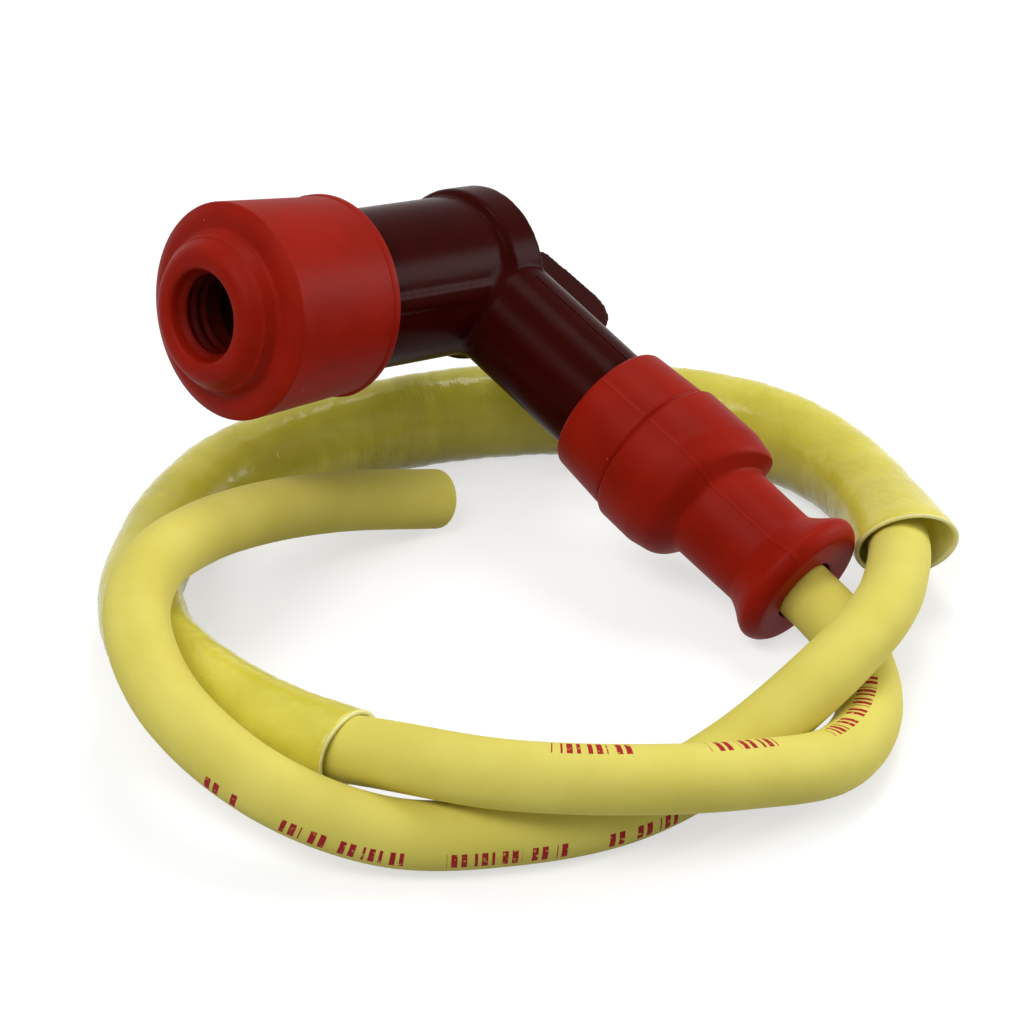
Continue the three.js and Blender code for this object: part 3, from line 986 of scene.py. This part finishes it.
# Cool grey wire, the brightest of the metals
spring_steel = metal("drawn_spring_steel", "B4B8BC", "9A9EA2", 0.28)
# Dull, warm grey plating
tinned = metal("tin_plated_brass", "C4C0B4", "A8A498", 0.35)
# Reddish strands with closer patches
copper = metal("stranded_copper", "C88458", "A86840", 0.35, 0.4)

for piece, materials in (
    (body, (maroon_phenolic(),)),
    (plug_boot, (rubber,)),
    (cable_boot, (rubber,)),
    (cable, (yellow_silicone(), plain_silicone("cut_yellow_silicone", "D8CE74", "CCC060"))),
    # The sleeve's inside is painted paler than its outside: painted light, as if lit through the
    # thin wall.
    (sleeve, (sleeve_silicone(), plain_silicone("painted_lit_inner_silicone", "F0EAB4", "E6DFA0"))),
):
    for place, material in enumerate(materials):
        if place < len(piece.data.materials):
            piece.data.materials[place] = material
        else:
            piece.data.materials.append(material)

for name, material in (
    ("rear_contact", brass),
    ("contact_spring", spring_steel),
    ("resistor_rear_cap", tinned),
    ("resistor_rod", ceramic()),
    ("resistor_front_cap", tinned),
    ("plug_terminal", brass),
    ("terminal_clip", spring_steel),
    ("cable_stud", brass),
    ("cable_conductor", copper),
):
    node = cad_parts[name]
    for slot in node.material_slots:
        slot.material = material

# What each piece stands for and rides on
for piece, node_name, slot in (
    (body, "cap_body", "cap_body"),
    (plug_boot, "plug_boot", "plug_boot"),
    (cable_boot, "cable_boot", "cable_boot"),
    (cable, "ignition_cable", "cable_jacket"),
    (sleeve, "cable_sleeve", "sleeve"),
):
    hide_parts(node_name)
    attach(piece, "root")

# Pale floor, white background and three soft lamps
FLOOR_HALF = 3
floor_mesh = bpy.data.meshes.new("floor")
floor_bm = bmesh.new()
bmesh.ops.create_grid(floor_bm, x_segments=1, y_segments=1, size=FLOOR_HALF)
floor_bm.to_mesh(floor_mesh)
floor_bm.free()
floor = bpy.data.objects.new("floor", floor_mesh)
scene.collection.objects.link(floor)


def seen_rays(tree):
    """1 for rays that show the background: camera, glossy and transmission rays."""
    path = add_node(tree, "LightPath").outputs
    glossy = reckoned(tree, "MAXIMUM", path["Is Glossy Ray"], path["Is Transmission Ray"])
    return reckoned(tree, "MAXIMUM", path["Is Camera Ray"], glossy)


# The floor's own glow, near the part and far from it, takes its shown colour to white
GLOW_DISTANCES = (0.15, 1.0)
GLOW = (0.62, 0.86)
floor_material, tree = new_material("pale_floor")
diffuse = add_node(tree, "BsdfDiffuse", None, {"Color": colour("B4B4B4")})
place = add_node(tree, "TexCoord").outputs["Object"]
strength = ranged(tree, vector_reckoned(tree, "LENGTH", place), GLOW_DISTANCES, GLOW)
lift = add_node(tree, "Emission", None, {"Color": WHITE, "Strength": strength})
lifted = add_node(tree, "AddShader", None, {0: diffuse.outputs[0], 1: lift.outputs[0]})
shown = add_node(
    tree, "MixShader", None, {0: seen_rays(tree), 1: diffuse.outputs[0], 2: lifted.outputs[0]}
)
add_node(tree, "OutputMaterial", None, {"Surface": shown.outputs[0]})
floor.data.materials.append(floor_material)

AMBIENT = 0.36
world = bpy.data.worlds.new("studio")
world.use_nodes = True
scene.world = world
tree = world.node_tree
tree.nodes.clear()
ambient = add_node(tree, "Background", None, {"Color": WHITE, "Strength": AMBIENT})
white = add_node(tree, "Background", None, {"Color": WHITE, "Strength": 1.0})
mixed = add_node(
    tree, "MixShader", None, {0: seen_rays(tree), 1: ambient.outputs[0], 2: white.outputs[0]}
)
add_node(tree, "OutputWorld", None, {"Surface": mixed.outputs[0]})

# Name, place, width and height in metres, power in watts
LAMPS = (
    ("key_lamp", (0.06, -0.37, 0.49), 0.46, 0.2, 2.0),
    ("low_lamp", (0.33, 0.5, 0.19), 0.26, 0.19, 1.9),
    ("top_lamp", (-0.04, 0.17, 0.57), 0.2, 0.2, 1.0),
)
target = Vector((0, 0, 0.015))
for name, place, width, height, power in LAMPS:
    lamp_data = bpy.data.lights.new(name, "AREA")
    lamp_data.shape = "RECTANGLE"
    lamp_data.size = width
    lamp_data.size_y = height
    lamp_data.energy = power
    lamp = bpy.data.objects.new(name, lamp_data)
    lamp.location = place
    aim = (target - Vector(place)).to_track_quat("-Z", "Y")
    lamp.rotation_euler = aim.to_euler()
    scene.collection.objects.link(lamp)
